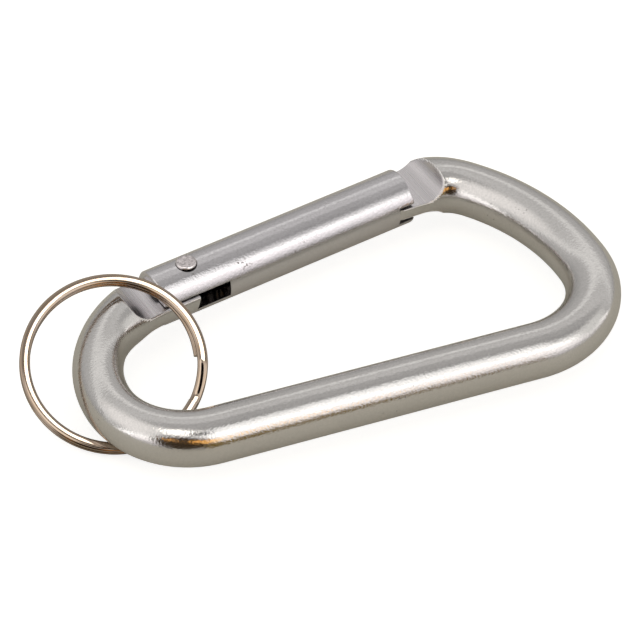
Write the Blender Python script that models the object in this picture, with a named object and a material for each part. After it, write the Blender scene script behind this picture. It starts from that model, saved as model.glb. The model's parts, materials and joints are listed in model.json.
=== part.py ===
"""Spring-gate carabiner with a split ring: bent aluminium rod, drilled gate and key ring.

Plan coordinates are in millimetres: the spine's axis runs along +X from (0, 0), the rod's
axis lies in the plane Z = 0 and the gate closes the far (+Y) side.  Gate coordinates have
their origin on the rivet's axis and +X along the closed gate towards the nose.  The object's
own frame has its origin at the middle of the base of its box.
"""
import math

import bmesh
import bpy
from mathutils import Matrix, Vector

MM = 0.001
FRAME_ORIGIN = Vector((21.444, 19.362, -6.54))   # plan point that becomes the frame's origin

# Bent rod, in plan
ROD_RADIUS = 4.0
SPINE_LENGTH = 47.8
GATE_SLOPE = 11.5                # degrees between the closed gate and the spine
LEFT_CORNER = (12.2, 82.0)       # bend radius and angle, spine to small bow
LEFT_BOW_RADIUS = 16.6
TANG_RUN = 4.85                  # straight rod before the rivet
RIGHT_CORNER = (13.4, 94.0)
RIGHT_SIDE = (32.9, 40.0)
NOSE_BEND_RADIUS = 9.7
NOSE_RUN = 5.0                   # straight rod behind the nose
TANG_PAST_RIVET = 3.25
BOW_HALF_WIDTH = 3.6             # the small bow is pressed narrower than the rod
BOW_NECK = (8.0, 14.0)           # distance from the tang's end, and length, of the narrowing
BOW_FADE = 0.3                   # share of the bow over which it fades out before the spine
TANG_SPREAD = (0.7, 10.0, 12.0)  # extra inner width, where it starts to fade, length of the fade
NOSE_SPREAD_INNER = (0.55, 7.0, 12.5)  # extra width, distance of its peak and of its end from the tip
NOSE_SPREAD_OUTER = (0.9, 8.0, 15.0)
ROD_SEGMENTS = 32
BEND_STEP = 5.0                  # degrees of bend for each station

# Milled ends, in gate coordinates
TANG_HALF_THICKNESS = 1.2
TONGUE_HALF_THICKNESS = 0.95
CUTTER_RADIUS = 4.0              # radius of the cut where it runs out of the rod
TANG_CUT_START = -7.45           # where the tang's floor starts to rise to the bow
NOSE_CUT_END = 38.25             # where the nose's floor starts to rise to the bow
TANG_INNER = -3.7                # inner side of the tang, at its end
TANG_OUTER = 2.5                 # and outer side
TANG_END = ((1.6, -1.7), (1.85, -1.2), (1.85, 1.7), (1.1, TANG_OUTER))  # the plunger bears on this end
TANG_STEP = (0.25, -1.55)        # where the inner side ends, above the upper and below the lower face
TANG_NOTCH = (0.4, 0.8, 3.2)     # clearance from the gate's start, and width of the outer side there
TONGUE_TIP = 33.55
TONGUE_STEP = 34.25              # the inner side steps out here
TONGUE_FULL = 35.05              # and reaches the full width here
TONGUE_INNER = (-2.3, -3.7, -4.1)  # inner side at the tip, at the step and at the full width
TONGUE_OUTER = (3.3, 3.7, 3.95)  # outer side at the tip, at the full width and behind it
TONGUE_OUTER_FULL = 37.55
TONGUE_SHOULDER = 41.35          # where the outer side steps out to the rod
CUTTER_REACH = 7.0               # cutters go this far out from the gate's axis
CUTTER_HALF_WIDTH = 9.0
CUTTER_RISE = 0.6                # the cut's radius runs on this far above the rod
CUTTER_STEPS = 7
TANG_CUT_LENGTH = 12.0
NOSE_CUT_LENGTH = 9.0
END_CUT_HALF_HEIGHT = 2.6
OVERRUN = 1.0                    # cutters start this far outside the piece

# Gate
GATE_RADIUS = 4.2
GATE_START = -5.8
GATE_END = 36.65
GATE_CHAMFER = 0.45
BORE_RADIUS = 2.5
BORE_END = 23.95
BORE_POINT = (1.5, 0.4)          # length of the drill's point, and radius at its end
TANG_SLOT_HALF_WIDTH = 1.4
TANG_SLOT_END = 4.95
TANG_SLOT_DEPTH = 3.1            # the slot stops short of the outer side
NOSE_SLOT_HALF_WIDTH = 1.5
NOSE_SLOT_INNER = 33.95          # slot depth in the gate's inner side
NOSE_SLOT_OUTER = 32.95          # and in its outer side, which the tongue leaves by
NOSE_WALL = -2.6                 # outer face of the wall that stops the closing gate
GATE_SEGMENTS = 48
PIN_SEGMENTS = 24

# Rivet, plunger and spring
RIVET_RADIUS = 1.0
RIVET_HOLE_RADIUS = 1.15
RIVET_HEAD_RADIUS = 1.5
RIVET_HEAD_HEIGHT = 0.4
RIVET_LIFT = 0.05                # under the heads
RIVET_RIM = 0.12
PLUNGER_FACE = 2.2
PLUNGER_HEAD = (2.2, 0.9)        # radius and thickness
PLUNGER_STEM = (1.1, 6.0)        # radius and length
PLUNGER_CHAMFER = 0.3
SPRING_RADIUS = 1.75
SPRING_WIRE_RADIUS = 0.2
SPRING_PITCH = 0.7
SPRING_GAP = 0.3                 # to the plunger's head and to the bore's bottom
SPRING_STEPS = 12                # sections in one turn
SPRING_SIDES = 6

# Split ring
RING_CENTRE = Vector((-9.05, 18.05, 0.15))
RING_RADIUS = 12.5               # to the middle of the flattened wire
RING_WIRE = (1.5, 0.75)          # radial width and thickness of one turn
RING_BEVEL = 0.18
RING_LEAD = 0.95                 # distance between the two turns
RING_TILT = 27.0
RING_HEADING = -6.0              # direction of the ring's level diameter
RING_START_ANGLE = -4.5          # where the lower turn begins
RING_SPRING_IN = (0.35, 45.0)    # the lower turn's end sits inside by this much, over this angle
RING_STEP_START = -32.0          # where the wire leaves the lower turn
RING_STEP_END = -10.5            # and reaches the upper one
RING_END_ANGLE = -38.0           # where the upper turn ends
RING_SEGMENTS = 48


def walk(point, heading, steps):
    """Follow straight runs ("run", length) and bends ("bend", radius, signed degrees)."""
    stations = [(point[0], point[1], heading)]
    x, y = point
    for step in steps:
        if step[0] == "run":
            x += step[1] * math.cos(heading)
            y += step[1] * math.sin(heading)
            stations.append((x, y, heading))
            continue
        radius, angle = step[1], math.radians(step[2])
        side = math.copysign(radius, angle)
        centre_x = x - side * math.sin(heading)
        centre_y = y + side * math.cos(heading)
        count = math.ceil(abs(step[2]) / BEND_STEP)
        for k in range(1, count + 1):
            turned = heading + angle * k / count
            stations.append((centre_x + side * math.sin(turned), centre_y - side * math.cos(turned), turned))
        x, y, heading = stations[-1]
    return stations


def left_stations(past_rivet):
    """Rod from the spine round the small bow to a point past the rivet."""
    bow_angle = 180.0 - GATE_SLOPE - LEFT_CORNER[1]
    return walk((0.0, 0.0), math.pi, [
        ("bend", LEFT_CORNER[0], -LEFT_CORNER[1]),
        ("bend", LEFT_BOW_RADIUS, -bow_angle),
        ("run", TANG_RUN + past_rivet),
    ])


def right_stations():
    """Rod from the spine round the wide bow to the nose."""
    nose_angle = 180.0 + GATE_SLOPE - RIGHT_CORNER[1] - RIGHT_SIDE[1]
    return walk((SPINE_LENGTH, 0.0), 0.0, [
        ("bend",) + RIGHT_CORNER,
        ("bend",) + RIGHT_SIDE,
        ("bend", NOSE_BEND_RADIUS, nose_angle),
        ("run", NOSE_RUN),
    ])


PIVOT = Vector((*left_stations(0.0)[-1][:2], 0.0))
GATE_TURN = math.radians(GATE_SLOPE)


def ease(value):
    value = min(max(value, 0.0), 1.0)
    return value * value * (3.0 - 2.0 * value)


def material(name, colour, roughness):
    made = bpy.data.materials.new(name)
    made.use_nodes = True
    shader = made.node_tree.nodes["Principled BSDF"]
    shader.inputs["Base Color"].default_value = (*colour, 1.0)
    shader.inputs["Roughness"].default_value = roughness
    shader.inputs["Metallic"].default_value = 1.0
    return made


def empty(name, plan_point, turn=0.0):
    """Empty at a plan point, turned about Z, that carries pieces made in their own axes."""
    made = bpy.data.objects.new(name, None)
    bpy.context.scene.collection.objects.link(made)
    made.location = (Vector(plan_point) - FRAME_ORIGIN) * MM
    made.rotation_euler = (0.0, 0.0, turn)
    return made


def add_object(name, mesh_builder, parent, surface=None):
    """Turn a bmesh in millimetres into an object under parent."""
    mesh = bpy.data.meshes.new(name)
    bmesh.ops.recalc_face_normals(mesh_builder, faces=mesh_builder.faces)
    bmesh.ops.triangulate(mesh_builder, faces=mesh_builder.faces)
    bmesh.ops.scale(mesh_builder, vec=(MM, MM, MM), verts=mesh_builder.verts)
    mesh_builder.to_mesh(mesh)
    mesh_builder.free()
    made = bpy.data.objects.new(name, mesh)
    bpy.context.scene.collection.objects.link(made)
    made.parent = parent
    if surface:
        mesh.materials.append(surface)
        mesh.shade_smooth()
        mesh.set_sharp_from_angle(angle=math.radians(35.0))
    return made


def cut(target, cutter):
    """Subtract a guide solid that stays hidden."""
    cutter.hide_render = True
    cutter.display_type = "WIRE"
    modifier = target.modifiers.new(cutter.name, "BOOLEAN")
    modifier.operation = "DIFFERENCE"
    modifier.solver = "EXACT"
    modifier.object = cutter


def skin(loops, closed=False):
    """Bridge loops of points into one tube, capped unless it closes on itself."""
    made = bmesh.new()
    rings = [[made.verts.new(point) for point in loop] for loop in loops]
    count = len(rings[0])
    pairs = list(zip(rings, rings[1:]))
    if closed:
        pairs.append((rings[-1], rings[0]))
    for ring, following in pairs:
        for k in range(count):
            made.faces.new((ring[k], ring[(k + 1) % count], following[(k + 1) % count], following[k]))
    if not closed:
        made.faces.new(rings[0])
        made.faces.new(rings[-1])
    return made


def circle(count, radius_u, radius_v):
    """Points (u, v) of an ellipse."""
    steps = [2.0 * math.pi * k / count for k in range(count)]
    return [(radius_u * math.cos(t), radius_v * math.sin(t)) for t in steps]


def turned(profile, segments):
    """Solid of revolution about X from (x, radius) pairs."""
    return skin([[(x, u, v) for u, v in circle(segments, radius, radius)] for x, radius in profile])


def prism(outline, low, high, low_outline=None):
    """Outline in XY, extruded from Z = low to Z = high."""
    lower = [(x, y, low) for x, y in (low_outline or outline)]
    upper = [(x, y, high) for x, y in outline]
    return skin([lower, upper])


def box(x_range, y_range, z_range):
    (left, right), (front, back) = x_range, y_range
    outline = [(left, front), (right, front), (right, back), (left, back)]
    return prism(outline, z_range[0], z_range[1])


def post(radius, half_height):
    """Upright cylinder centred on the rivet's axis."""
    return prism(circle(PIN_SEGMENTS, radius, radius), -half_height, half_height)


def bump(distance, spread):
    """Extra width that grows to a peak and fades out, along the rod from its tip."""
    size, peak, end = spread
    return size * ease(distance / peak) * ease((end - distance) / (end - peak))


def distances(stations):
    """Distance of each station from the first one along the rod."""
    found = [0.0]
    for a, b in zip(stations, stations[1:]):
        found.append(found[-1] + math.hypot(b[0] - a[0], b[1] - a[1]))
    return found


def rod_loops():
    """Cross-sections of the bent rod, from the tang to the nose."""
    left = left_stations(TANG_PAST_RIVET)[::-1]
    right = right_stations()
    runs = distances(left)
    loops = []
    for (x, y, heading), run in zip(left, runs):
        pressed = ease((run - BOW_NECK[0]) / BOW_NECK[1]) * ease((1.0 - run / runs[-1]) / BOW_FADE)
        outer = ROD_RADIUS + (BOW_HALF_WIDTH - ROD_RADIUS) * pressed
        inner = outer + TANG_SPREAD[0] * (1.0 - ease((run - TANG_SPREAD[1]) / TANG_SPREAD[2]))
        loops.append(rod_loop(x, y, heading - math.pi, inner, outer))
    from_tip = distances(right[::-1])[::-1]
    for (x, y, heading), distance in zip(right, from_tip):
        inner = ROD_RADIUS + bump(distance, NOSE_SPREAD_INNER)
        outer = ROD_RADIUS + bump(distance, NOSE_SPREAD_OUTER)
        loops.append(rod_loop(x, y, heading, inner, outer))
    return loops


def rod_loop(x, y, heading, inner, outer):
    """Section of the rod with its half-widths towards the inside and outside of the frame."""
    across = (-math.sin(heading), math.cos(heading))
    points = []
    for u, v in circle(ROD_SEGMENTS, 1.0, ROD_RADIUS):
        u *= inner if u > 0.0 else outer
        points.append((x + across[0] * u, y + across[1] * u, v))
    return points


def milling_profile(start, direction, half_thickness, reach):
    """Side view (x, z) of a flat cut that rises in a cutter's radius at start."""
    points = [(start - direction * reach, half_thickness), (start - direction * reach, CUTTER_REACH)]
    corner = math.acos(1.0 - (ROD_RADIUS + CUTTER_RISE - half_thickness) / CUTTER_RADIUS)
    end = start + direction * CUTTER_RADIUS * math.sin(corner)
    points.append((end, CUTTER_REACH))
    for k in range(CUTTER_STEPS, -1, -1):
        t = corner * k / CUTTER_STEPS
        points.append((start + direction * CUTTER_RADIUS * math.sin(t),
                       half_thickness + CUTTER_RADIUS * (1.0 - math.cos(t))))
    return points


def milling_cutter(name, parent, profile, side):
    loops = [[(x, y, side * z) for x, z in profile] for y in (-CUTTER_HALF_WIDTH, CUTTER_HALF_WIDTH)]
    return add_object(name, skin(loops), parent)


def tang_end_outline(step):
    """Plan outline of what is cut away past the tang."""
    far = GATE_RADIUS + CUTTER_REACH
    notch_start, notch_end, notch_width = TANG_NOTCH
    return [(step, -CUTTER_REACH), (step, TANG_INNER), *TANG_END,
            (GATE_START - notch_start, TANG_OUTER), (GATE_START - notch_end, notch_width),
            (GATE_START - notch_end, CUTTER_REACH), (far, CUTTER_REACH), (far, -CUTTER_REACH)]


def tongue_outline():
    """Plan outline of what is cut away beside and past the tongue."""
    far = TONGUE_TIP - CUTTER_HALF_WIDTH
    return [(far, -CUTTER_REACH), (TONGUE_FULL, -CUTTER_REACH), (TONGUE_FULL, TONGUE_INNER[2]),
            (TONGUE_STEP, TONGUE_INNER[1]), (TONGUE_STEP, TONGUE_INNER[0]), (TONGUE_TIP, TONGUE_INNER[0]),
            (TONGUE_TIP, TONGUE_OUTER[0]), (TONGUE_FULL, TONGUE_OUTER[1]),
            (TONGUE_OUTER_FULL, TONGUE_OUTER[2]), (TONGUE_SHOULDER, TONGUE_OUTER[2]),
            (TONGUE_SHOULDER, CUTTER_REACH), (far, CUTTER_REACH)]


def make_frame(surface, pivot):
    """Bent rod with its tang, which the gate turns on, and its tongue, which the gate shuts on."""
    frame_axes = empty("frame_axes", (0.0, 0.0, 0.0))
    frame = add_object("frame", skin(rod_loops()), frame_axes, surface)
    tang = milling_profile(TANG_CUT_START, -1.0, TANG_HALF_THICKNESS, TANG_CUT_LENGTH)
    nose = milling_profile(NOSE_CUT_END, 1.0, TONGUE_HALF_THICKNESS, NOSE_CUT_LENGTH)
    for side, word in ((1.0, "top"), (-1.0, "bottom")):
        cut(frame, milling_cutter("tang_cutter_" + word, pivot, tang, side))
        cut(frame, milling_cutter("nose_cutter_" + word, pivot, nose, side))
    tang_end = tang_end_outline(TANG_STEP[0])
    low_end = tang_end_outline(TANG_STEP[1])
    height = END_CUT_HALF_HEIGHT
    cut(frame, add_object("tang_end_cutter", prism(tang_end, -height, height, low_end), pivot))
    cut(frame, add_object("tang_hole_cutter", post(RIVET_HOLE_RADIUS, height), pivot))
    cut(frame, add_object("tongue_cutter", prism(tongue_outline(), -height, height), pivot))
    return frame


def make_gate(surface, pivot):
    """Round gate, drilled from the rivet's end and slotted at both ends."""
    body = [(GATE_START, GATE_RADIUS - GATE_CHAMFER), (GATE_START + GATE_CHAMFER, GATE_RADIUS),
            (GATE_END - GATE_CHAMFER, GATE_RADIUS), (GATE_END, GATE_RADIUS - GATE_CHAMFER)]
    gate = add_object("gate", turned(body, GATE_SEGMENTS), pivot, surface)
    bore = [(GATE_START - OVERRUN, BORE_RADIUS), (BORE_END, BORE_RADIUS),
            (BORE_END + BORE_POINT[0], BORE_POINT[1])]
    cut(gate, add_object("bore_cutter", turned(bore, GATE_SEGMENTS), pivot))
    tang_slot = box((GATE_START - OVERRUN, TANG_SLOT_END), (-CUTTER_REACH, TANG_SLOT_DEPTH),
                    (-TANG_SLOT_HALF_WIDTH, TANG_SLOT_HALF_WIDTH))
    cut(gate, add_object("tang_slot_cutter", tang_slot, pivot))
    far = GATE_END + OVERRUN
    mouth = [(NOSE_SLOT_INNER, -CUTTER_REACH), (far, -CUTTER_REACH), (far, CUTTER_REACH),
             (NOSE_SLOT_OUTER, CUTTER_REACH), (NOSE_SLOT_OUTER, NOSE_WALL), (NOSE_SLOT_INNER, NOSE_WALL)]
    nose_slot = prism(mouth, -NOSE_SLOT_HALF_WIDTH, NOSE_SLOT_HALF_WIDTH)
    cut(gate, add_object("nose_slot_cutter", nose_slot, pivot))
    cut(gate, add_object("rivet_hole_cutter", post(RIVET_HOLE_RADIUS, CUTTER_REACH), pivot))
    return gate


def make_rivet(surface, pivot):
    """Rivet through the gate and the tang, with a low head on both sides."""
    under = GATE_RADIUS + RIVET_LIFT
    top = under + RIVET_HEAD_HEIGHT
    profile = [(under, RIVET_HEAD_RADIUS), (top - RIVET_RIM, RIVET_HEAD_RADIUS),
               (top, RIVET_HEAD_RADIUS - 1.5 * RIVET_RIM)]
    outline = [(-z, radius) for z, radius in profile[::-1]] + [(-under, RIVET_RADIUS)]
    outline += [(under, RIVET_RADIUS)] + profile
    rivet = skin([[(u, v, z) for u, v in circle(PIN_SEGMENTS, radius, radius)] for z, radius in outline])
    return add_object("pivot_rivet", rivet, pivot, surface)


def make_plunger(surface, pivot):
    """Push pin that bears on the tang, with a stem inside the spring."""
    radius, thickness = PLUNGER_HEAD
    stem_radius, stem_length = PLUNGER_STEM
    back = PLUNGER_FACE + thickness
    end = back + stem_length
    profile = [(PLUNGER_FACE, radius - PLUNGER_CHAMFER), (PLUNGER_FACE + PLUNGER_CHAMFER, radius),
               (back, radius), (back, stem_radius),
               (end - PLUNGER_CHAMFER, stem_radius), (end, stem_radius - PLUNGER_CHAMFER)]
    return add_object("plunger", turned(profile, PIN_SEGMENTS), pivot, surface)


def make_spring(surface, pivot):
    """Coil spring between the plunger's head and the bottom of the gate's bore."""
    start = PLUNGER_FACE + PLUNGER_HEAD[1] + SPRING_GAP + SPRING_WIRE_RADIUS
    end = BORE_END - SPRING_GAP - SPRING_WIRE_RADIUS
    turns = round((end - start) / SPRING_PITCH)
    count = turns * SPRING_STEPS
    loops = []
    for k in range(count + 1):
        angle = 2.0 * math.pi * k / SPRING_STEPS
        x = start + (end - start) * k / count
        outward = Vector((0.0, math.cos(angle), math.sin(angle)))
        centre = Vector((x, 0.0, 0.0)) + outward * SPRING_RADIUS
        wire = circle(SPRING_SIDES, SPRING_WIRE_RADIUS, SPRING_WIRE_RADIUS)
        loops.append([centre + outward * u + Vector((v, 0.0, 0.0)) for u, v in wire])
    return add_object("gate_spring", skin(loops), pivot, surface)


def make_split_ring(surface):
    """Flattened wire wound twice round, with a step where it passes to the second turn."""
    carrier = empty("ring_axis", RING_CENTRE, math.radians(RING_HEADING))
    side, face = RING_WIRE[0] / 2.0, RING_WIRE[1] / 2.0
    flat, low = side - RING_BEVEL, face - RING_BEVEL
    section = [(side, low), (flat, face), (-flat, face), (-side, low),
               (-side, -low), (-flat, -face), (flat, -face), (side, -low)]
    loops = []
    count = 2 * RING_SEGMENTS
    for k in range(count + 1):
        degrees = RING_START_ANGLE + (720.0 + RING_END_ANGLE - RING_START_ANGLE) * k / count
        angle = math.radians(degrees)
        step = (degrees - 360.0 - RING_STEP_START) / (RING_STEP_END - RING_STEP_START)
        rise = min(max(step, 0.0), 1.0) - 0.5
        inset = RING_SPRING_IN[0] * ease(1.0 - (degrees - RING_START_ANGLE) / RING_SPRING_IN[1])
        radius = RING_RADIUS - inset
        outward = Vector((math.cos(angle), math.sin(angle), 0.0))
        lift = Vector((0.0, 0.0, RING_LEAD * rise))
        loops.append([outward * (radius + u) + lift + Vector((0.0, 0.0, v)) for u, v in section])
    ring = add_object("split_ring", skin(loops), carrier, surface)
    ring.rotation_euler = (math.radians(RING_TILT), 0.0, 0.0)
    return ring


def main():
    for item in list(bpy.data.objects):
        bpy.data.objects.remove(item, do_unlink=True)
    aluminium = material("satin_aluminium", (0.78, 0.77, 0.77), 0.3)
    gate_aluminium = material("gate_aluminium", (0.80, 0.79, 0.80), 0.28)
    rivet_metal = material("rivet_metal", (0.70, 0.68, 0.67), 0.35)
    steel = material("spring_steel", (0.55, 0.54, 0.52), 0.3)
    plunger_metal = material("plunger_steel", (0.50, 0.49, 0.48), 0.4)
    nickel = material("nickel_ring", (0.72, 0.66, 0.60), 0.12)
    pivot = empty("gate_axis", PIVOT, GATE_TURN)
    make_frame(aluminium, pivot)
    make_gate(gate_aluminium, pivot)
    make_rivet(rivet_metal, pivot)
    make_plunger(plunger_metal, pivot)
    make_spring(steel, pivot)
    make_split_ring(nickel)


main()
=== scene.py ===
"""Looks of the spring-gate carabiner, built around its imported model.

Lengths here are millimetres in two sets of axes.  Plan axes follow the bent rod: the spine's axis runs
along +X from (0, 0) and the rod lies in the plane Z = 0.  Gate axes have their origin on the rivet's
axis and +X along the closed gate.  The gate's hinge and the plunger's slide place both in the frame.
"""

import json
import math

import bmesh
import bpy
from mathutils import Matrix, Vector, noise


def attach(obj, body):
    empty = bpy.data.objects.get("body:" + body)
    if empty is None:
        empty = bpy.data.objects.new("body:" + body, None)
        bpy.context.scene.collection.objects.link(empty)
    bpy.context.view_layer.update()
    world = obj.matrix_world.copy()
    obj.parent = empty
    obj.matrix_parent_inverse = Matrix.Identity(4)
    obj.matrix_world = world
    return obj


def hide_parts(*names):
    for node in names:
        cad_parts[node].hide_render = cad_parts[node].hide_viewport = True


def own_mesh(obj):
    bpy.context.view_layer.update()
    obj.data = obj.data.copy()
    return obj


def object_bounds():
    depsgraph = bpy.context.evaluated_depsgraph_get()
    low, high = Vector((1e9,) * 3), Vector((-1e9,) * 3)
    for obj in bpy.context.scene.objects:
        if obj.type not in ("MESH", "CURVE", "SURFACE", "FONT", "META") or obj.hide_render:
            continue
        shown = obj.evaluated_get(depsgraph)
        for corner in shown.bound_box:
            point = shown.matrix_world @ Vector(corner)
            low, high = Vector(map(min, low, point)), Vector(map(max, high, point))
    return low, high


MM = 0.001
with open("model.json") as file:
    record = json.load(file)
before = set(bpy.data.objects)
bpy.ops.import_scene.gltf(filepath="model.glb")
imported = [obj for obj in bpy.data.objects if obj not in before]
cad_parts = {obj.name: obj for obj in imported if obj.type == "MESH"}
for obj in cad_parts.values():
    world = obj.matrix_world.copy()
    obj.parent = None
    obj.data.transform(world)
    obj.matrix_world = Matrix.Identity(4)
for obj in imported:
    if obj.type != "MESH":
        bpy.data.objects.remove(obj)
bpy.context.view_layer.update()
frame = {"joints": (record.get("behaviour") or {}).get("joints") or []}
JOINTS = {joint["name"]: joint for joint in frame["joints"]}

# Bent rod, in plan
ROD_RADIUS = 4.0
SPINE_LENGTH = 47.8
LEFT_CORNER = (12.2, 82.0)       # bend radius and angle, spine to small bow
LEFT_BOW_RADIUS = 16.6
TANG_RUN = 4.85                  # straight rod before the rivet
TANG_PAST_RIVET = 3.25
RIGHT_CORNER = (13.4, 94.0)
RIGHT_SIDE = (32.9, 40.0)
NOSE_BEND_RADIUS = 9.7
NOSE_RUN = 5.0                   # straight rod behind the nose
BOW_HALF_WIDTH = 3.6             # the small bow is pressed narrower than the rod
BOW_NECK = (8.0, 14.0)           # distance from the tang's end, and length, of the narrowing
BOW_FADE = 0.3                   # share of the small bow's length over which it fades towards the spine
TANG_SPREAD = (0.7, 10.0, 12.0)  # extra inner width, where it starts to fade, length of the fade
NOSE_SPREAD_INNER = (0.55, 7.0, 12.5)  # extra width, distance of its peak and of its end from the tip
NOSE_SPREAD_OUTER = (0.9, 8.0, 15.0)
ROD_SEGMENTS = 96
ROD_SPACING = 0.45               # between stations along the plain rod
END_SPACING = 0.09               # and along its milled ends
END_LENGTH = 17.0

# Milled ends, in gate axes
TANG_HALF_THICKNESS = 1.2
TONGUE_HALF_THICKNESS = 0.95
CUTTER_RADIUS = 4.0              # radius of the cut where it runs out of the rod
TANG_CUT_START = -7.45           # where the tang's floor starts to rise to the bow
NOSE_CUT_END = 38.25             # where the nose's floor starts to rise to the bow
EDGE_BLEND = 0.3                 # rounding of the milled edges
EDGE_GLINT_HEIGHT = 0.28                      # height of the near-white band below them, a painted highlight
TANG_INNER = -3.7                # inner side of the tang, at its end
TANG_OUTER = 2.5                 # and outer side
TANG_END = ((1.6, -1.7), (1.85, -1.2), (1.85, 1.7), (1.1, TANG_OUTER))  # the plunger bears on this end
TANG_STEP = (0.25, -1.55)        # where the inner side ends, above the upper and below the lower face
TANG_NOTCH = (0.4, 0.8, 3.2)     # clearance from the gate's start, and width of the outer side there
TONGUE_TIP = 33.55
TONGUE_STEP = 34.25              # the inner side steps out here
TONGUE_FULL = 35.05              # and reaches the full width here
TONGUE_INNER = (-2.3, -3.7, -4.1)  # inner side at the tip, at the step and at the full width
TONGUE_OUTER = (3.3, 3.7, 3.95)  # outer side at the tip, at the full width and behind it
TONGUE_OUTER_FULL = 37.55
TONGUE_SHOULDER = 41.35          # where the outer side steps out to the rod
CUTTER_REACH = 7.0               # cutters go this far out from the gate's axis
TONGUE_CUT_EXTRA = 2.0           # and this much further past the tongue's tip
TANG_CUT_HALF_HEIGHT = 2.5
TONGUE_CUT_HALF_HEIGHT = 2.6
TANG_HOLE_HALF_HEIGHT = 3.0
TANG_HOLE_SEGMENTS = 32
MILLED_REACH = 6.5               # milled faces lie this near to the gate's axis
MILLED_SPANS = ((-13.0, 3.0), (32.0, 43.5))  # and between these places along it
FLOOR_TOLERANCE = 0.06           # a face this near to the cutter's path is part of the milled floor

# Gate
GATE_RADIUS = 4.2
GATE_START = -5.8
GATE_END = 36.65
GATE_ROUND = (0.45, 0.3)         # rounding of the rims, at the rivet and at the nose
BORE_RADIUS = 2.5
BORE_END = 23.95
BORE_POINT = (1.5, 0.4)          # length of the drill's point, and radius at its end
TANG_SLOT_HALF_WIDTH = 1.4
TANG_SLOT_END = 4.95
TANG_SLOT_DEPTH = 3.1            # the slot stops short of the outer side
NOSE_SLOT_HALF_WIDTH = 1.5
NOSE_SLOT_INNER = 33.95
NOSE_SLOT_OUTER = 32.95
NOSE_WALL = -2.6
EDGE_BEVEL = 0.1
SKIN_DEPTH = 0.35                # the nose's slot is rougher and painted dark, as shade, below this depth
OVERRUN = 1.0                    # cutters pass the gate's ends by this much
SIDE_REACH = 6.0                 # and go this far out from its axis
GATE_SEGMENTS = 144
BORE_SEGMENTS = 96
RIVET_HOLE_SEGMENTS = 48

# Rivet, plunger and spring
RIVET_RADIUS = 1.0
RIVET_HOLE_RADIUS = 1.15
RIVET_HEAD_RADIUS = 1.5
RIVET_HEAD_HEIGHT = 0.4
RIVET_LIFT = 0.05                # gap between the gate's top and the head's under side
RIVET_RIM = 0.87                 # share of the head's radius beyond which it isn't hammered
HEAD_EDGE = [(1.0, 0.0), (1.0, 0.42), (0.985, 0.5), (0.9, 0.84), (0.88, 0.9), (0.84, 0.96)]  # shares
HEAD_TOP = (0.84, 0.08, 10)      # share of the radius, step and number of the rings on the top
HEAD_DOME = 0.1                  # share of the height by which the rim is lower
HEAD_DENT = (0.05, 2.3, 6.0)     # depth of the dents, and how many to the millimetre, broad and fine
HEAD_DENT_EDGE = (0.97, 0.15)    # the dents fade towards this share of the radius, over this share
PLUNGER_FACE = 2.2
PLUNGER_HEAD = (2.2, 0.9)
PLUNGER_STEM = (1.1, 6.0)
PLUNGER_ROUND = (0.3, 0.4)       # rounding of the head's and of the stem's rim
PIN_SEGMENTS = 64                # of the rivet and the plunger
SPRING_RADIUS = 1.75
SPRING_WIRE_RADIUS = 0.2
SPRING_PITCH = 0.7
SPRING_GAP = 0.3
SPRING_STEPS = 28                # in one turn
SPRING_SEGMENTS = 10

# Split ring
RING_RADIUS = 12.5
RING_WIRE = (1.5, 0.75)
RING_LEAD = 0.95
RING_TILT = 27.0
RING_START_ANGLE = -4.5          # where the lower turn begins
RING_SPRING_IN = (0.35, 45.0)    # the lower turn's end sits inside by this much, over this angle
RING_STEP_START = -32.0          # where the wire leaves the lower turn
RING_STEP_END = -10.5            # and reaches the upper one
RING_END_ANGLE = -38.0           # where the upper turn ends
RING_KINK = 1.6                  # half the length, in degrees, of the bend at both ends of the step
RING_STATIONS = 220              # in one turn
RING_POWER = 2.6                 # of the superellipse that is the wire's section
RING_SEGMENTS = 40
RING_BEVEL = 0.06


def walk(point, heading, steps):
    """Stations (x, y, heading) along straight runs and bends, close enough together for a smooth rod."""
    x, y = point
    stations = [(x, y, heading)]
    for step in steps:
        length = step[1] if step[0] == "run" else step[1] * math.radians(abs(step[2]))
        count = math.ceil(length / END_SPACING)
        if step[0] == "run":
            for k in range(1, count + 1):
                run = length * k / count
                stations.append((x + run * math.cos(heading), y + run * math.sin(heading), heading))
        else:
            angle = math.radians(step[2])
            side = math.copysign(step[1], angle)
            centre = (x - side * math.sin(heading), y + side * math.cos(heading))
            for k in range(1, count + 1):
                turned_to = heading + angle * k / count
                stations.append((centre[0] + side * math.sin(turned_to),
                                 centre[1] - side * math.cos(turned_to), turned_to))
        x, y, heading = stations[-1]
    return stations


def left_stations(past_rivet, slope):
    """Rod from the spine round the small bow to a point past the rivet."""
    return walk((0.0, 0.0), math.pi, [
        ("bend", LEFT_CORNER[0], -LEFT_CORNER[1]),
        ("bend", LEFT_BOW_RADIUS, -(180.0 - slope - LEFT_CORNER[1])),
        ("run", TANG_RUN + past_rivet),
    ])


def right_stations(slope):
    """Rod from the spine's small-bow end round the wide bow to the nose."""
    return walk((0.0, 0.0), 0.0, [
        ("run", SPINE_LENGTH),
        ("bend",) + RIGHT_CORNER,
        ("bend",) + RIGHT_SIDE,
        ("bend", NOSE_BEND_RADIUS, 180.0 + slope - RIGHT_CORNER[1] - RIGHT_SIDE[1]),
        ("run", NOSE_RUN),
    ])


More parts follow.
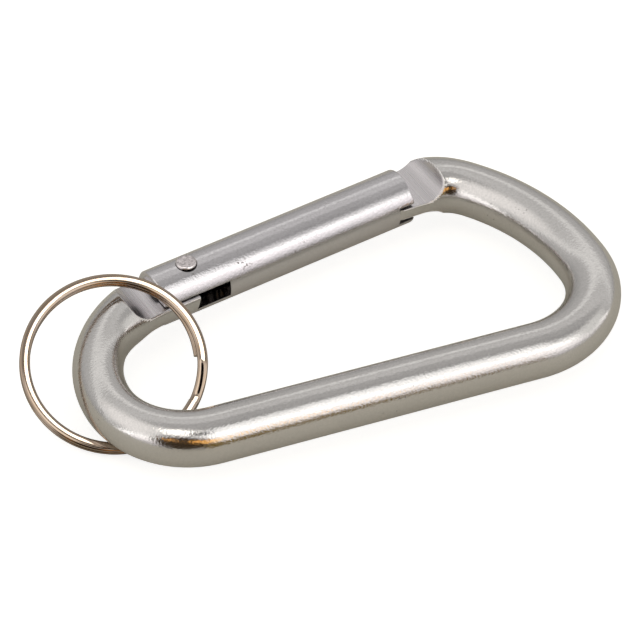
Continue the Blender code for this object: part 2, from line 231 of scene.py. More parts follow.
GATE_DIRECTION = Vector(JOINTS["plunger_slide"]["axis"])
GATE_TURN = math.atan2(GATE_DIRECTION.y, GATE_DIRECTION.x)
GATE_SLOPE = math.degrees(GATE_TURN)
PIVOT_PLAN = Vector((*left_stations(0.0, GATE_SLOPE)[-1][:2], 0.0))
PIVOT = Vector(JOINTS["gate_hinge"]["pos_m"])
TO_FRAME = Matrix.Translation(PIVOT - PIVOT_PLAN * MM) @ Matrix.Scale(MM, 4)
GATE_TO_FRAME = Matrix.Translation(PIVOT) @ Matrix.Rotation(GATE_TURN, 4, "Z") @ Matrix.Scale(MM, 4)
PLAN_TO_GATE = GATE_TO_FRAME.inverted() @ TO_FRAME


# ---------------------------------------------------------------- mesh helpers

def ease(value):
    value = min(max(value, 0.0), 1.0)
    return value * value * (3.0 - 2.0 * value)


def soft_min(value, limit, blend):
    """The smaller of the two, rounded where they cross."""
    overlap = max(blend - abs(value - limit), 0.0) / blend
    return min(value, limit) - overlap * overlap * blend * 0.25


def circle(count, radius_u, radius_v):
    steps = [2.0 * math.pi * k / count for k in range(count)]
    return [(radius_u * math.cos(t), radius_v * math.sin(t)) for t in steps]


def skin(loops):
    """Bridge loops of points into one capped tube."""
    made = bmesh.new()
    rings = [[made.verts.new(point) for point in loop] for loop in loops]
    count = len(rings[0])
    for ring, following in zip(rings, rings[1:]):
        for k in range(count):
            made.faces.new((ring[k], ring[(k + 1) % count], following[(k + 1) % count], following[k]))
    made.faces.new(rings[0])
    made.faces.new(rings[-1])
    return made


def revolve(profile, segments):
    """Solid of revolution about X from (x, radius) pairs."""
    return skin([[(x, u, v) for u, v in circle(segments, radius, radius)] for x, radius in profile])


def prism(outline, low, high, low_outline=None):
    """Outline in XY, extruded from Z = low to Z = high."""
    lower = [(x, y, low) for x, y in (low_outline or outline)]
    upper = [(x, y, high) for x, y in outline]
    return skin([lower, upper])


def box(x_range, y_range, z_range):
    (left, right), (front, back) = x_range, y_range
    outline = [(left, front), (right, front), (right, back), (left, back)]
    return prism(outline, *z_range)


def add_object(name, shape, placement, *surfaces, sharp=35.0):
    """Turn a bmesh into an object whose mesh is in the frame's metres."""
    bmesh.ops.recalc_face_normals(shape, faces=shape.faces)
    bmesh.ops.transform(shape, matrix=placement, verts=shape.verts)
    mesh = bpy.data.meshes.new(name)
    shape.to_mesh(mesh)
    shape.free()
    for surface in surfaces:
        mesh.materials.append(surface)
    mesh.shade_smooth()
    mesh.set_sharp_from_angle(angle=math.radians(sharp))
    made = bpy.data.objects.new(name, mesh)
    bpy.context.scene.collection.objects.link(made)
    return made


def settle(piece):
    """Apply a piece's modifiers to its mesh."""
    graph = bpy.context.evaluated_depsgraph_get()
    mesh = bpy.data.meshes.new_from_object(piece.evaluated_get(graph))
    piece.modifiers.clear()
    piece.data = mesh
    return mesh


def cut_all(piece, cutters):
    """Subtract the cutters, apply the result and remove them."""
    for cutter in cutters:
        modifier = piece.modifiers.new(cutter.name, "BOOLEAN")
        modifier.operation = "DIFFERENCE"
        modifier.solver = "EXACT"
        modifier.object = cutter
    settle(piece)
    for cutter in cutters:
        bpy.data.objects.remove(cutter)


def bevel_edges(piece, width, angle=40.0, segments=3):
    modifier = piece.modifiers.new("edges", "BEVEL")
    modifier.width = width * MM
    modifier.segments = segments
    modifier.limit_method = "ANGLE"
    modifier.angle_limit = math.radians(angle)
    modifier.harden_normals = True
    settle(piece)


# ---------------------------------------------------------------- frame

def bump_width(distance, spread):
    """Extra width that grows to a peak and fades out, along the rod from its tip."""
    size, peak, end = spread
    return size * ease(distance / peak) * ease((end - distance) / (end - peak))


def distances(stations):
    found = [0.0]
    for a, b in zip(stations, stations[1:]):
        found.append(found[-1] + math.hypot(b[0] - a[0], b[1] - a[1]))
    return found


def milled_floor(x):
    """Half thickness that the milling leaves at a place along the gate."""
    if x < GATE_END / 2.0:
        base, rise = TANG_HALF_THICKNESS, TANG_CUT_START - x
    else:
        base, rise = TONGUE_HALF_THICKNESS, x - NOSE_CUT_END
    if rise >= CUTTER_RADIUS:
        return base + 2.0 * CUTTER_RADIUS
    rise = max(rise, 0.0)
    return base + CUTTER_RADIUS - math.sqrt(CUTTER_RADIUS ** 2 - rise ** 2)


def rod_loop(station, inner, outer, milled):
    """Section of the rod, flattened where its end is milled."""
    x, y, heading = station
    across = (-math.sin(heading), math.cos(heading))
    points = []
    for u, v in circle(ROD_SEGMENTS, 1.0, ROD_RADIUS):
        u *= inner if u > 0.0 else outer
        point = Vector((x + across[0] * u, y + across[1] * u, v))
        if milled:
            floor = milled_floor((PLAN_TO_GATE @ point).x)
            point.z = math.copysign(soft_min(abs(v), floor, EDGE_BLEND), v)
        points.append(point)
    return points


def thinned(stations, runs, length):
    """Keep every station near the milled end and fewer along the plain rod."""
    kept = []
    last = -ROD_SPACING
    for station, run in zip(stations, runs):
        if run < length or run - last >= ROD_SPACING or station is stations[-1]:
            kept.append((station, run))
            last = run
    return kept


def rod_loops():
    """Sections of the whole bent rod, from the tang to the nose."""
    left = left_stations(TANG_PAST_RIVET, GATE_SLOPE)[::-1]
    left_runs = distances(left)
    loops = []
    for (x, y, heading), run in thinned(left, left_runs, END_LENGTH):
        pressed = ease((run - BOW_NECK[0]) / BOW_NECK[1])
        pressed *= ease((1.0 - run / left_runs[-1]) / BOW_FADE)
        outer = ROD_RADIUS + (BOW_HALF_WIDTH - ROD_RADIUS) * pressed
        inner = outer + TANG_SPREAD[0] * (1.0 - ease((run - TANG_SPREAD[1]) / TANG_SPREAD[2]))
        loops.append(rod_loop((x, y, heading - math.pi), inner, outer, run < END_LENGTH))
    right = right_stations(GATE_SLOPE)[::-1]
    right_loops = []
    for station, run in thinned(right, distances(right), END_LENGTH):
        inner = ROD_RADIUS + bump_width(run, NOSE_SPREAD_INNER)
        outer = ROD_RADIUS + bump_width(run, NOSE_SPREAD_OUTER)
        right_loops.append(rod_loop(station, inner, outer, run < END_LENGTH))
    return loops + right_loops[-2::-1]


def mark_milled(mesh):
    """Give the second material to faces on the milled floors and the third, a near-white painted highlight,
    to the rounded edges round them.
    """
    to_gate = GATE_TO_FRAME.inverted()
    height = GATE_TO_FRAME.translation.z
    for face in mesh.polygons:
        centre = to_gate @ face.center
        near_end = abs(centre.y) < MILLED_REACH and any(low < centre.x < high for low, high in MILLED_SPANS)
        above = abs(face.center.z - height) / MM - milled_floor(centre.x)
        if near_end and abs(above) < FLOOR_TOLERANCE:
            face.material_index = 1
        # Rounded edges of the milled floors get a painted highlight
        elif near_end and -EDGE_GLINT_HEIGHT < above < 0.0:
            face.material_index = 2


def tang_end_outline(step):
    """Plan outline of what is cut away past the tang."""
    far = GATE_RADIUS + CUTTER_REACH
    notch_start, notch_end, notch_width = TANG_NOTCH
    return [(step, -CUTTER_REACH), (step, TANG_INNER), *TANG_END,
            (GATE_START - notch_start, TANG_OUTER), (GATE_START - notch_end, notch_width),
            (GATE_START - notch_end, CUTTER_REACH), (far, CUTTER_REACH), (far, -CUTTER_REACH)]


def tongue_outline():
    """Plan outline of what is cut away beside and past the tongue."""
    far = TONGUE_TIP - CUTTER_REACH - TONGUE_CUT_EXTRA
    return [(far, -CUTTER_REACH), (TONGUE_FULL, -CUTTER_REACH), (TONGUE_FULL, TONGUE_INNER[2]),
            (TONGUE_STEP, TONGUE_INNER[1]), (TONGUE_STEP, TONGUE_INNER[0]), (TONGUE_TIP, TONGUE_INNER[0]),
            (TONGUE_TIP, TONGUE_OUTER[0]), (TONGUE_FULL, TONGUE_OUTER[1]),
            (TONGUE_OUTER_FULL, TONGUE_OUTER[2]), (TONGUE_SHOULDER, TONGUE_OUTER[2]),
            (TONGUE_SHOULDER, CUTTER_REACH), (far, CUTTER_REACH)]


def make_frame(*surfaces):
    """Bent rod with its tang, which the gate turns on, and its tongue, which the gate shuts on."""
    piece = add_object("frame_rod", skin(rod_loops()), TO_FRAME, *surfaces)
    tang_end = prism(tang_end_outline(TANG_STEP[0]), -TANG_CUT_HALF_HEIGHT, TANG_CUT_HALF_HEIGHT,
                     tang_end_outline(TANG_STEP[1]))
    tongue = prism(tongue_outline(), -TONGUE_CUT_HALF_HEIGHT, TONGUE_CUT_HALF_HEIGHT)
    hole = prism(circle(TANG_HOLE_SEGMENTS, RIVET_HOLE_RADIUS, RIVET_HOLE_RADIUS),
                 -TANG_HOLE_HALF_HEIGHT, TANG_HOLE_HALF_HEIGHT)
    cut_all(piece, [
        add_object("tang_end_cutter", tang_end, GATE_TO_FRAME),
        add_object("tongue_cutter", tongue, GATE_TO_FRAME),
        add_object("tang_hole_cutter", hole, GATE_TO_FRAME),
    ])
    mark_milled(piece.data)
    piece.data.set_sharp_from_angle(angle=math.radians(35.0))
    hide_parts("frame")
    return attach(piece, "frame")


# ---------------------------------------------------------------- gate

def rim(x, direction, radius, size, count=5):
    """Quarter round of a turned profile at an end face."""
    points = []
    for k in range(count + 1):
        t = math.pi / 2.0 * k / count
        points.append((x + direction * size * (1.0 - math.sin(t)), radius - size * (1.0 - math.cos(t))))
    return points


def make_gate(surface, inside):
    """Round gate, drilled from the rivet's end and slotted at both ends."""
    profile = rim(GATE_START, 1.0, GATE_RADIUS, GATE_ROUND[0])[::-1]
    profile += rim(GATE_END, -1.0, GATE_RADIUS, GATE_ROUND[1])
    piece = add_object("gate_tube", revolve(profile, GATE_SEGMENTS), GATE_TO_FRAME, surface, inside)
    bore = [(GATE_START - OVERRUN, BORE_RADIUS), (BORE_END, BORE_RADIUS),
            (BORE_END + BORE_POINT[0], BORE_POINT[1])]
    tang_slot = box((GATE_START - OVERRUN, TANG_SLOT_END), (-SIDE_REACH, TANG_SLOT_DEPTH),
                    (-TANG_SLOT_HALF_WIDTH, TANG_SLOT_HALF_WIDTH))
    mouth = [(NOSE_SLOT_INNER, -SIDE_REACH), (GATE_END + OVERRUN, -SIDE_REACH),
             (GATE_END + OVERRUN, SIDE_REACH), (NOSE_SLOT_OUTER, SIDE_REACH),
             (NOSE_SLOT_OUTER, NOSE_WALL), (NOSE_SLOT_INNER, NOSE_WALL)]
    nose_slot = prism(mouth, -NOSE_SLOT_HALF_WIDTH, NOSE_SLOT_HALF_WIDTH)
    hole = prism(circle(RIVET_HOLE_SEGMENTS, RIVET_HOLE_RADIUS, RIVET_HOLE_RADIUS), -SIDE_REACH, SIDE_REACH)
    cut_all(piece, [
        add_object("bore_cutter", revolve(bore, BORE_SEGMENTS), GATE_TO_FRAME),
        add_object("tang_slot_cutter", tang_slot, GATE_TO_FRAME),
        add_object("nose_slot_cutter", nose_slot, GATE_TO_FRAME),
        add_object("rivet_hole_cutter", hole, GATE_TO_FRAME),
    ])
    bevel_edges(piece, EDGE_BEVEL)
    # Faces deep in the nose's slot get the dark second material: painted shade
    to_gate = GATE_TO_FRAME.inverted()
    for face in piece.data.polygons:
        centre = to_gate @ face.center
        within = BORE_END + BORE_POINT[0] < centre.x < GATE_END - EDGE_BEVEL
        if within and math.hypot(centre.y, centre.z) < GATE_RADIUS - SKIN_DEPTH:
            face.material_index = 1
    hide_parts("gate")
    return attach(piece, "gate")


# ---------------------------------------------------------------- rivet, plunger, spring

def head_loops(side, under):
    """Rings of a rivet head from its rim to the middle of its hammered top."""
    depth, broad, fine = HEAD_DENT
    steps = HEAD_EDGE + [(HEAD_TOP[0] - HEAD_TOP[1] * k, 1.0) for k in range(1, HEAD_TOP[2] + 1)]
    loops = []
    for share, height in steps:
        loop = []
        for u, v in circle(PIN_SEGMENTS, RIVET_HEAD_RADIUS * share, RIVET_HEAD_RADIUS * share):
            dent = noise.noise(Vector((u * broad, v * broad, side * 5.0)))
            dent += 0.5 * noise.noise(Vector((u * fine, v * fine, side)))
            rough = depth * dent * ease((HEAD_DENT_EDGE[0] - share) / HEAD_DENT_EDGE[1])
            top = RIVET_HEAD_HEIGHT * height * (1.0 - HEAD_DOME * share)
            loop.append((u, v, side * (under + top + rough)))
        loops.append(loop)
    return loops


def make_rivet(surface, rim_surface):
    """Rivet through the gate and the tang, with a low hammered head on both sides."""
    under = GATE_RADIUS + RIVET_LIFT
    section = circle(PIN_SEGMENTS, RIVET_RADIUS, RIVET_RADIUS)
    shank = [[(u, v, z) for u, v in section] for z in (-under, under)]
    lower = head_loops(-1.0, under)[::-1]
    upper = head_loops(1.0, under)
    piece = add_object("rivet", skin(lower + shank + upper), GATE_TO_FRAME, surface, rim_surface,
                       sharp=50.0)
    axis = GATE_TO_FRAME.translation.xy
    for face in piece.data.polygons:
        if (face.center.xy - axis).length > RIVET_RIM * RIVET_HEAD_RADIUS * MM:
            face.material_index = 1
    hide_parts("pivot_rivet")
    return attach(piece, "gate")


def make_plunger(surface):
    """Push pin that bears on the tang, with a stem inside the spring."""
    radius, thickness = PLUNGER_HEAD
    stem_radius, stem_length = PLUNGER_STEM
    back = PLUNGER_FACE + thickness
    profile = rim(PLUNGER_FACE, 1.0, radius, PLUNGER_ROUND[0])[::-1] + [(back, radius), (back, stem_radius)]
    profile += rim(back + stem_length, -1.0, stem_radius, PLUNGER_ROUND[1])
    piece = add_object("plunger_pin", revolve(profile, PIN_SEGMENTS), GATE_TO_FRAME, surface)
    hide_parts("plunger")
    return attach(piece, "plunger")


def make_spring(surface):
    """Coil spring between the plunger's head and the bottom of the gate's bore."""
    start = PLUNGER_FACE + PLUNGER_HEAD[1] + SPRING_GAP + SPRING_WIRE_RADIUS
    end = BORE_END - SPRING_GAP - SPRING_WIRE_RADIUS
    turns = round((end - start) / SPRING_PITCH)
    count = turns * SPRING_STEPS
    wire = circle(SPRING_SEGMENTS, SPRING_WIRE_RADIUS, SPRING_WIRE_RADIUS)
    loops = []
    for k in range(count + 1):
        angle = 2.0 * math.pi * k / SPRING_STEPS
        outward = Vector((0.0, math.cos(angle), math.sin(angle)))
        centre = Vector((start + (end - start) * k / count, 0.0, 0.0)) + outward * SPRING_RADIUS
        loops.append([centre + outward * u + Vector((v, 0.0, 0.0)) for u, v in wire])
    piece = add_object("spring_coil", skin(loops), GATE_TO_FRAME, surface)
    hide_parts("gate_spring")
    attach(piece, "gate")
    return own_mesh(piece)


# ---------------------------------------------------------------- split ring

def wire_section():
    """Flattened round wire as (radial, axial) points of a superellipse."""
    half_width, half_thickness = RING_WIRE[0] / 2.0, RING_WIRE[1] / 2.0
    power = 2.0 / RING_POWER
    return [(half_width * math.copysign(abs(u) ** power, u),
             half_thickness * math.copysign(abs(v) ** power, v))
            for u, v in circle(RING_SEGMENTS, 1.0, 1.0)]


def soft_step(degrees):
    """Share of the step from turn to turn, with a short bend at both ends."""
    def ramp(value):
        rounded = max(RING_KINK - abs(value), 0.0)
        return max(value, 0.0) + rounded * rounded / (4.0 * RING_KINK)
    rise = ramp(degrees - RING_STEP_START) - ramp(degrees - RING_STEP_END)
    return rise / (RING_STEP_END - RING_STEP_START)


def make_ring(surface):
    """Flattened wire wound twice round, with a step where it passes to the second turn."""
    count = 2 * RING_STATIONS
    loops = []
    for k in range(count + 1):
        degrees = RING_START_ANGLE + (720.0 + RING_END_ANGLE - RING_START_ANGLE) * k / count
        angle = math.radians(degrees)
        rise = RING_LEAD * (soft_step(degrees - 360.0) - 0.5)
        inset = RING_SPRING_IN[0] * ease(1.0 - (degrees - RING_START_ANGLE) / RING_SPRING_IN[1])
        radius = RING_RADIUS - inset
        outward = Vector((math.cos(angle), math.sin(angle), 0.0))
        loops.append([outward * (radius + u) + Vector((0.0, 0.0, rise + v)) for u, v in wire_section()])
    flip = JOINTS["ring_flip"]
    heading = math.atan2(flip["axis"][1], flip["axis"][0])
    place = (Matrix.Translation(Vector(flip["pos_m"])) @ Matrix.Rotation(heading, 4, "Z")
             @ Matrix.Rotation(math.radians(RING_TILT), 4, "X") @ Matrix.Scale(MM, 4))
    piece = add_object("key_ring", skin(loops), place, surface, sharp=50.0)
    bevel_edges(piece, RING_BEVEL, angle=60.0, segments=2)
    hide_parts("split_ring")
    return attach(piece, "ring")


# ---------------------------------------------------------------- materials

GRAIN_SHARE = 0.14
GRAIN_COLOUR = (0.3, 0.29, 0.28)
# Nearly black colour painted as the shadow under the rivet's heads
RIVET_SHADOW_COLOUR = (0.03, 0.028, 0.026)
# Painted shadow round the rivet's heads and clusters of scuffs on the gate, in gate axes, with their radius
RIVET_SHADOW_SPOTS = [((0.0, -0.06, 4.05), 1.54), ((0.0, -0.06, -4.05), 1.54)]
SCUFFS = [((8.0, -3.15, 2.75), 1.0), ((7.0, -2.85, 3.05), 0.5), ((17.5, -3.2, 2.7), 0.5),
          ((27.0, -2.9, 3.0), 0.35)]


def new_material(name, colour, roughness, metallic=1.0):
    made = bpy.data.materials.new(name)
    made.use_nodes = True
    shader = made.node_tree.nodes["Principled BSDF"]
    shader.inputs["Base Color"].default_value = (*colour, 1.0)
    shader.inputs["Roughness"].default_value = roughness
    shader.inputs["Metallic"].default_value = metallic
    return made, made.node_tree, shader


def noise_node(tree, scale, detail, stretch=(1.0, 1.0, 1.0), turn=0.0):
    """Noise in the object's own space, which may be stretched along turned axes."""
    nodes, links = tree.nodes, tree.links
    place = nodes.new("ShaderNodeTexCoord")
    mapping = nodes.new("ShaderNodeMapping")
    mapping.vector_type = "TEXTURE"
    mapping.inputs["Rotation"].default_value = (0.0, 0.0, turn)
    mapping.inputs["Scale"].default_value = stretch
    texture = nodes.new("ShaderNodeTexNoise")
    texture.inputs["Scale"].default_value = scale
    texture.inputs["Detail"].default_value = detail
    links.new(place.outputs["Object"], mapping.inputs["Vector"])
    links.new(mapping.outputs["Vector"], texture.inputs["Vector"])
    return texture.outputs["Fac"]


def spread(tree, value, low, high, from_low=0.3, from_high=0.7):
    """Map a noise onto a range of values."""
    node = tree.nodes.new("ShaderNodeMapRange")
    node.inputs["From Min"].default_value = from_low
    node.inputs["From Max"].default_value = from_high
    node.inputs["To Min"].default_value = low
    node.inputs["To Max"].default_value = high
    tree.links.new(value, node.inputs["Value"])
    return node.outputs["Result"]


def mix_colours(tree, factor, first, second):
    node = tree.nodes.new("ShaderNodeMix")
    node.data_type = "RGBA"
    tree.links.new(factor, node.inputs[0])
    for socket, colour in ((node.inputs[6], first), (node.inputs[7], second)):
        if isinstance(colour, tuple):
            socket.default_value = (*colour, 1.0)
        else:
            tree.links.new(colour, socket)
    return node.outputs[2]


def add_bump(tree, height, distance, previous=None):
    """Bump of a height in metres, on top of a previous one."""
    node = tree.nodes.new("ShaderNodeBump")
    node.inputs["Strength"].default_value = 1.0
    node.inputs["Distance"].default_value = distance
    tree.links.new(height, node.inputs["Height"])
    if previous:
        tree.links.new(previous, node.inputs["Normal"])
    return node.outputs["Normal"]


def math_node(tree, operation, first, second):
    node = tree.nodes.new("ShaderNodeMath")
    node.operation = operation
    for socket, value in zip(node.inputs, (first, second)):
        if isinstance(value, float):
            socket.default_value = value
        else:
            tree.links.new(value, socket)
    return node.outputs[0]


def near(tree, place, radius, fade):
    """1 within a radius in metres of a place in the frame, fading to 0."""
    position = tree.nodes.new("ShaderNodeTexCoord").outputs["Object"]
    node = tree.nodes.new("ShaderNodeVectorMath")
    node.operation = "DISTANCE"
    tree.links.new(position, node.inputs[0])
    node.inputs[1].default_value = tuple(place)
    return spread(tree, node.outputs["Value"], 1.0, 0.0, radius, radius + fade)


def satin_aluminium(name, colour, dark, roughness, scuffs=(), painted_shadows=(), peel=1.9e-5):
    """Tumbled, polished aluminium: orange peel, faint clouds and grain, a few pits, scuffs, and spots of
    painted shadow.
    """
    made, tree, shader = new_material(name, colour, roughness)
    clouds = spread(tree, noise_node(tree, 90.0, 3.0), 0.0, 1.0)
    base = mix_colours(tree, clouds, colour, tuple(c * 0.95 for c in colour))
    pits = spread(tree, noise_node(tree, 1900.0, 3.0), 0.0, 1.0, 0.68, 0.72)
    patches = spread(tree, noise_node(tree, 110.0, 2.0), 0.0, 0.8, 0.56, 0.62)
    marks = math_node(tree, "MULTIPLY", pits, patches)
    scratches = spread(tree, noise_node(tree, 2600.0, 4.0), 0.0, 1.0, 0.56, 0.62)
    for place, radius in scuffs:
        scuffed = math_node(tree, "MULTIPLY", scratches, near(tree, place, radius * 0.3, radius))
        marks = math_node(tree, "MAXIMUM", marks, scuffed)
    base = mix_colours(tree, marks, base, dark)
    # Painted shadow: nearly black discs with a sharp edge under the rivet's heads
    for place, radius in painted_shadows:
        base = mix_colours(tree, near(tree, place, radius, radius * 0.06), base, RIVET_SHADOW_COLOUR)
    grain = spread(tree, noise_node(tree, 3400.0, 2.0), 0.0, 1.0)
    base = mix_colours(tree, math_node(tree, "MULTIPLY", grain, GRAIN_SHARE), base, GRAIN_COLOUR)
    tree.links.new(base, shader.inputs["Base Color"])
    cloudy = spread(tree, noise_node(tree, 260.0, 4.0), roughness - 0.03, roughness + 0.04)
    rougher = math_node(tree, "MULTIPLY", marks, 0.25)
    tree.links.new(math_node(tree, "ADD", cloudy, rougher), shader.inputs["Roughness"])
    normal = add_bump(tree, noise_node(tree, 3000.0, 1.0), peel)
    normal = add_bump(tree, noise_node(tree, 7000.0, 1.0), peel * 0.3, normal)
    tree.links.new(normal, shader.inputs["Normal"])
    return made


def milled_aluminium(name, colour):
    """Bare milled face with fine cutter lines across the rod."""
    made, tree, shader = new_material(name, colour, 0.3)
    lines = noise_node(tree, 5200.0, 2.0, stretch=(1.0, 30.0, 30.0), turn=GATE_TURN)
    broad = noise_node(tree, 700.0, 2.0, stretch=(1.0, 12.0, 12.0), turn=GATE_TURN)
    mixed = math_node(tree, "ADD", math_node(tree, "MULTIPLY", lines, 0.5),
                      math_node(tree, "MULTIPLY", broad, 0.5))
    base = mix_colours(tree, spread(tree, mixed, 0.0, 1.0), colour, tuple(c * 0.9 for c in colour))
    tree.links.new(base, shader.inputs["Base Color"])
    tree.links.new(spread(tree, lines, 0.22, 0.34), shader.inputs["Roughness"])
    tree.links.new(add_bump(tree, lines, 1.1e-6), shader.inputs["Normal"])
    return made


def hammered_metal(name, colour):
    made, tree, shader = new_material(name, colour, 0.28)
    dents = noise_node(tree, 2400.0, 4.0)
    base = mix_colours(tree, spread(tree, dents, 0.0, 1.0), tuple(c * 0.5 for c in colour), colour)
    tree.links.new(base, shader.inputs["Base Color"])
    tree.links.new(spread(tree, dents, 0.16, 0.34), shader.inputs["Roughness"])
    tree.links.new(add_bump(tree, dents, 3.0e-5), shader.inputs["Normal"])
    return made


def dark_steel(name, colour, roughness):
    made, tree, shader = new_material(name, colour, roughness)
    film = noise_node(tree, 1800.0, 3.0)
    base = mix_colours(tree, spread(tree, film, 0.0, 1.0), colour, tuple(c * 0.6 for c in colour))
    tree.links.new(base, shader.inputs["Base Color"])
    tree.links.new(spread(tree, film, roughness - 0.06, roughness + 0.1), shader.inputs["Roughness"])
    return made


def nickel_plate(name, colour, warm):
    """Polished plating with drawing lines left under it and a warm tinge in places."""
    made, tree, shader = new_material(name, colour, 0.06)
    tinge = spread(tree, noise_node(tree, 260.0, 3.0), 0.0, 1.0)
    tree.links.new(mix_colours(tree, tinge, colour, warm), shader.inputs["Base Color"])
    tree.links.new(spread(tree, noise_node(tree, 900.0, 3.0), 0.04, 0.1), shader.inputs["Roughness"])
    tree.links.new(add_bump(tree, noise_node(tree, 1100.0, 2.0), 2.5e-6), shader.inputs["Normal"])
    return made


# ---------------------------------------------------------------- studio

FLOOR_SIZE = 4.0                 # half its side, in metres
FLOOR_GAP = 0.00002              # between it and the ring, in metres
FLOOR_GLOW = 0.78                # what the camera sees of its own light


def make_floor():
    """Plain pale table top."""
    mesh = bpy.data.meshes.new("floor")
    corners = [(-FLOOR_SIZE, -FLOOR_SIZE, 0.0), (FLOOR_SIZE, -FLOOR_SIZE, 0.0),
               (FLOOR_SIZE, FLOOR_SIZE, 0.0), (-FLOOR_SIZE, FLOOR_SIZE, 0.0)]
    mesh.from_pydata(corners, [], [(0, 1, 2, 3)])
    floor = bpy.data.objects.new("floor", mesh)
    floor.location.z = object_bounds()[0][2] - FLOOR_GAP
    bpy.context.scene.collection.objects.link(floor)
    made, tree, shader = new_material("floor_white", (0.58, 0.565, 0.495), 0.7, 0.0)
    seen = tree.nodes.new("ShaderNodeLightPath").outputs["Is Camera Ray"]
    tree.links.new(spread(tree, seen, 0.0, FLOOR_GLOW, 0.0, 1.0), shader.inputs["Emission Strength"])
    shader.inputs["Emission Color"].default_value = (0.97, 0.98, 1.0, 1.0)
    mesh.materials.append(made)


NEUTRAL = (1.0, 0.985, 0.97)
PINK = (1.0, 0.955, 0.955)
# Studio round an axis along X: degrees up from the front horizon and over the top, brightness, tint
STUDIO = [
    (-90, 0.45, NEUTRAL), (0, 0.4, NEUTRAL), (6, 0.55, PINK), (14, 0.88, PINK), (22, 1.12, PINK),
    (30, 1.3, PINK), (38, 1.5, NEUTRAL), (44, 1.8, NEUTRAL), (50, 1.45, NEUTRAL), (57, 0.85, NEUTRAL),
    (66, 0.58, NEUTRAL), (74, 0.34, NEUTRAL), (82, 0.42, NEUTRAL), (92, 0.47, NEUTRAL),
    (100, 0.42, NEUTRAL), (107, 0.64, NEUTRAL), (122, 0.62, NEUTRAL), (128, 0.5, NEUTRAL),
    (132, 0.9, NEUTRAL), (137, 0.9, NEUTRAL), (141, 0.52, NEUTRAL), (158, 0.5, NEUTRAL),
    (180, 0.34, NEUTRAL),
]
STUDIO_SPAN = 270.0              # degrees from the first stop to the end of the ramp
# Panels and dark screens: azimuth, elevation, radius of the fading edge and of the core, colour
PANELS = [
    (-88.0, 42.0, 34.0, 14.0, (1.0, 0.97, 0.95)),
    (72.0, 24.0, 22.0, 10.0, (0.78, 0.77, 0.75)),
    (-26.0, 24.0, 31.0, 22.0, (0.035, 0.022, 0.01)),
    (6.0, 6.0, 15.0, 8.0, (0.17, 0.11, 0.02)),
    (-13.0, 31.0, 6.0, 1.5, (1.5, 0.7, 0.16)),
    (-40.0, 33.0, 5.0, 1.0, (1.5, 0.7, 0.16)),
    (-1.0, 26.0, 8.0, 2.0, (1.5, 0.78, 0.22)),
    (9.0, 25.0, 6.0, 1.5, (1.5, 0.95, 0.35)),
    (-38.0, 66.0, 14.0, 9.0, (1.9, 1.84, 1.76)),
    (-5.0, 60.0, 8.5, 5.5, (0.0, 0.0, 0.0)),
]


def direction(azimuth, elevation):
    """Unit vector from the object, by degrees right of the front and up."""
    azimuth, elevation = math.radians(azimuth), math.radians(elevation)
    return (math.sin(azimuth) * math.cos(elevation), -math.cos(azimuth) * math.cos(elevation),
            math.sin(elevation))


def make_world():
    """Soft grey studio with bright and warm panels round the object, and dark screens among them."""
    world = bpy.data.worlds.new("studio")
    bpy.context.scene.world = world
    world.use_nodes = True
    tree = world.node_tree
    nodes, links = tree.nodes, tree.links
    place = nodes.new("ShaderNodeTexCoord")
    axes = nodes.new("ShaderNodeSeparateXYZ")
    links.new(place.outputs["Generated"], axes.inputs[0])
    forward = math_node(tree, "MULTIPLY", axes.outputs["Y"], -1.0)
    angle = math_node(tree, "ARCTAN2", axes.outputs["Z"], forward)
    ramp = nodes.new("ShaderNodeValToRGB")
    stops = ramp.color_ramp.elements
    for k, (degrees, level, tint) in enumerate(STUDIO):
        position = (degrees - STUDIO[0][0]) / STUDIO_SPAN
        stop = stops[k] if k < 2 else stops.new(position)
        stop.position = position
        stop.color = (*(level * c for c in tint), 1.0)
    links.new(spread(tree, angle, 0.0, 1.0, -math.pi / 2.0, math.pi), ramp.inputs["Fac"])
    colour = ramp.outputs["Color"]
    for azimuth, elevation, outer, inner, shade in PANELS:
        mask = direction_mask(tree, place, direction(azimuth, elevation), outer, inner)
        colour = mix_colours(tree, mask, colour, shade)
    seen = nodes.new("ShaderNodeLightPath").outputs["Is Camera Ray"]
    links.new(mix_colours(tree, seen, colour, (1.0, 1.0, 1.0)), nodes["Background"].inputs["Color"])


def direction_mask(tree, place, towards, outer, inner):
    """1 within an inner angle of a direction and 0 beyond an outer one."""
    node = tree.nodes.new("ShaderNodeVectorMath")
    node.operation = "DOT_PRODUCT"
    tree.links.new(place.outputs["Generated"], node.inputs[0])
    node.inputs[1].default_value = towards
    return spread(tree, node.outputs["Value"], 0.0, 1.0,
                  math.cos(math.radians(outer)), math.cos(math.radians(inner)))


def make_softbox(name, azimuth, elevation, distance, size, power):
    """Area light that faces the object from a direction."""
    light = bpy.data.lights.new(name, "AREA")
    light.size = size
    light.energy = power
    box_light = bpy.data.objects.new(name, light)
    towards = Vector(direction(azimuth, elevation))
    box_light.location = towards * distance
    box_light.rotation_euler = towards.to_track_quat("Z", "Y").to_euler()
    bpy.context.scene.collection.objects.link(box_light)
    return box_light


def limit_light(light, piece):
    """Let a light shine on one piece only."""
    lit = bpy.data.collections.new(light.name + "_lights")
    lit.objects.link(piece)
    light.light_linking.receiver_collection = lit


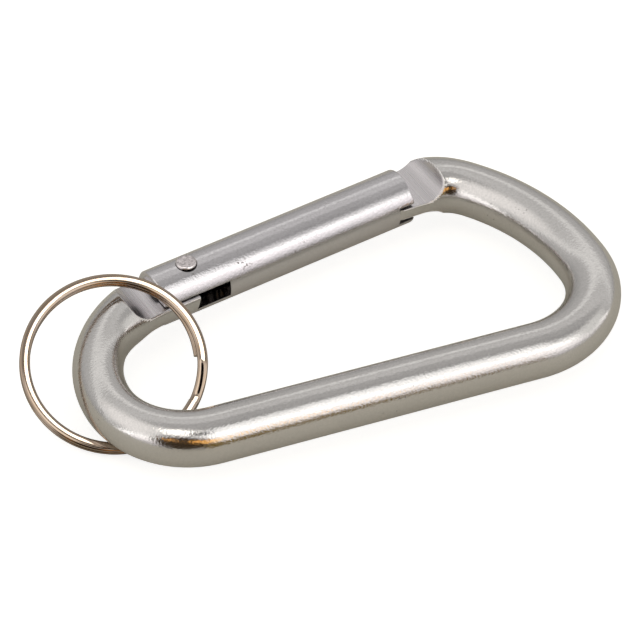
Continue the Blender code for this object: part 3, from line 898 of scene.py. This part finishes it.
CAMERA_TARGET = Vector((-0.184, -2.917, 6.54)) * MM
CAMERA_AZIMUTH = -20.266
CAMERA_ELEVATION = 43.833
CAMERA_DISTANCE = 0.456467
CAMERA_LENS = 180.0
CAMERA_SENSOR = 36.0


def make_camera():
    back = Vector(direction(CAMERA_AZIMUTH, CAMERA_ELEVATION))
    data = bpy.data.cameras.new("camera")
    data.sensor_width = CAMERA_SENSOR
    data.lens = CAMERA_LENS
    data.clip_start = 0.01
    camera = bpy.data.objects.new("camera", data)
    camera.location = CAMERA_TARGET + back * CAMERA_DISTANCE
    camera.rotation_euler = back.to_track_quat("Z", "Y").to_euler()
    bpy.context.scene.collection.objects.link(camera)
    bpy.context.scene.camera = camera


def main():
    make_camera()
    make_floor()
    make_world()
    make_softbox("key", azimuth=22.0, elevation=60.0, distance=0.9, size=0.3, power=0.15)
    dark = (0.22, 0.2, 0.19)
    rod = satin_aluminium("satin_aluminium", (0.79, 0.77, 0.75), dark, 0.15)
    # Scuffs are wear; the second group is painted shadow round the rivet's heads
    scuffs, painted_shadows = ([(GATE_TO_FRAME @ Vector(place), radius * MM) for place, radius in group]
                     for group in (SCUFFS, RIVET_SHADOW_SPOTS))
    tube = satin_aluminium("gate_aluminium", (0.79, 0.77, 0.785), dark, 0.16, scuffs, painted_shadows)
    milled = milled_aluminium("milled_aluminium", (0.72, 0.69, 0.7))
    # Near-white, barely metallic band painted along the milled edges as their highlight
    edge_glint = new_material("edge_glint_paint", (0.95, 0.94, 0.92), 0.5, 0.2)[0]
    make_frame(rod, milled, edge_glint)
    # The gate's second material is dark paint that stands in for the shade deep in the nose's slot
    make_gate(tube, new_material("slot_shade_aluminium", (0.2, 0.19, 0.18), 0.5)[0])
    rim_metal = new_material("rivet_rim", (0.85, 0.8, 0.8), 0.14)[0]
    make_rivet(hammered_metal("rivet_metal", (0.95, 0.88, 0.88)), rim_metal)
    make_plunger(dark_steel("plunger_steel", (0.03, 0.028, 0.025), 0.4))
    make_spring(dark_steel("spring_steel", (0.1, 0.095, 0.085), 0.3))
    ring = make_ring(nickel_plate("nickel_plate", (0.42, 0.345, 0.285), (0.4, 0.3, 0.21)))
    card = make_softbox("ring_card", azimuth=44.0, elevation=76.6, distance=0.6, size=0.18, power=0.5)
    limit_light(card, ring)
    bpy.context.scene.view_settings.view_transform = "Standard"


main()
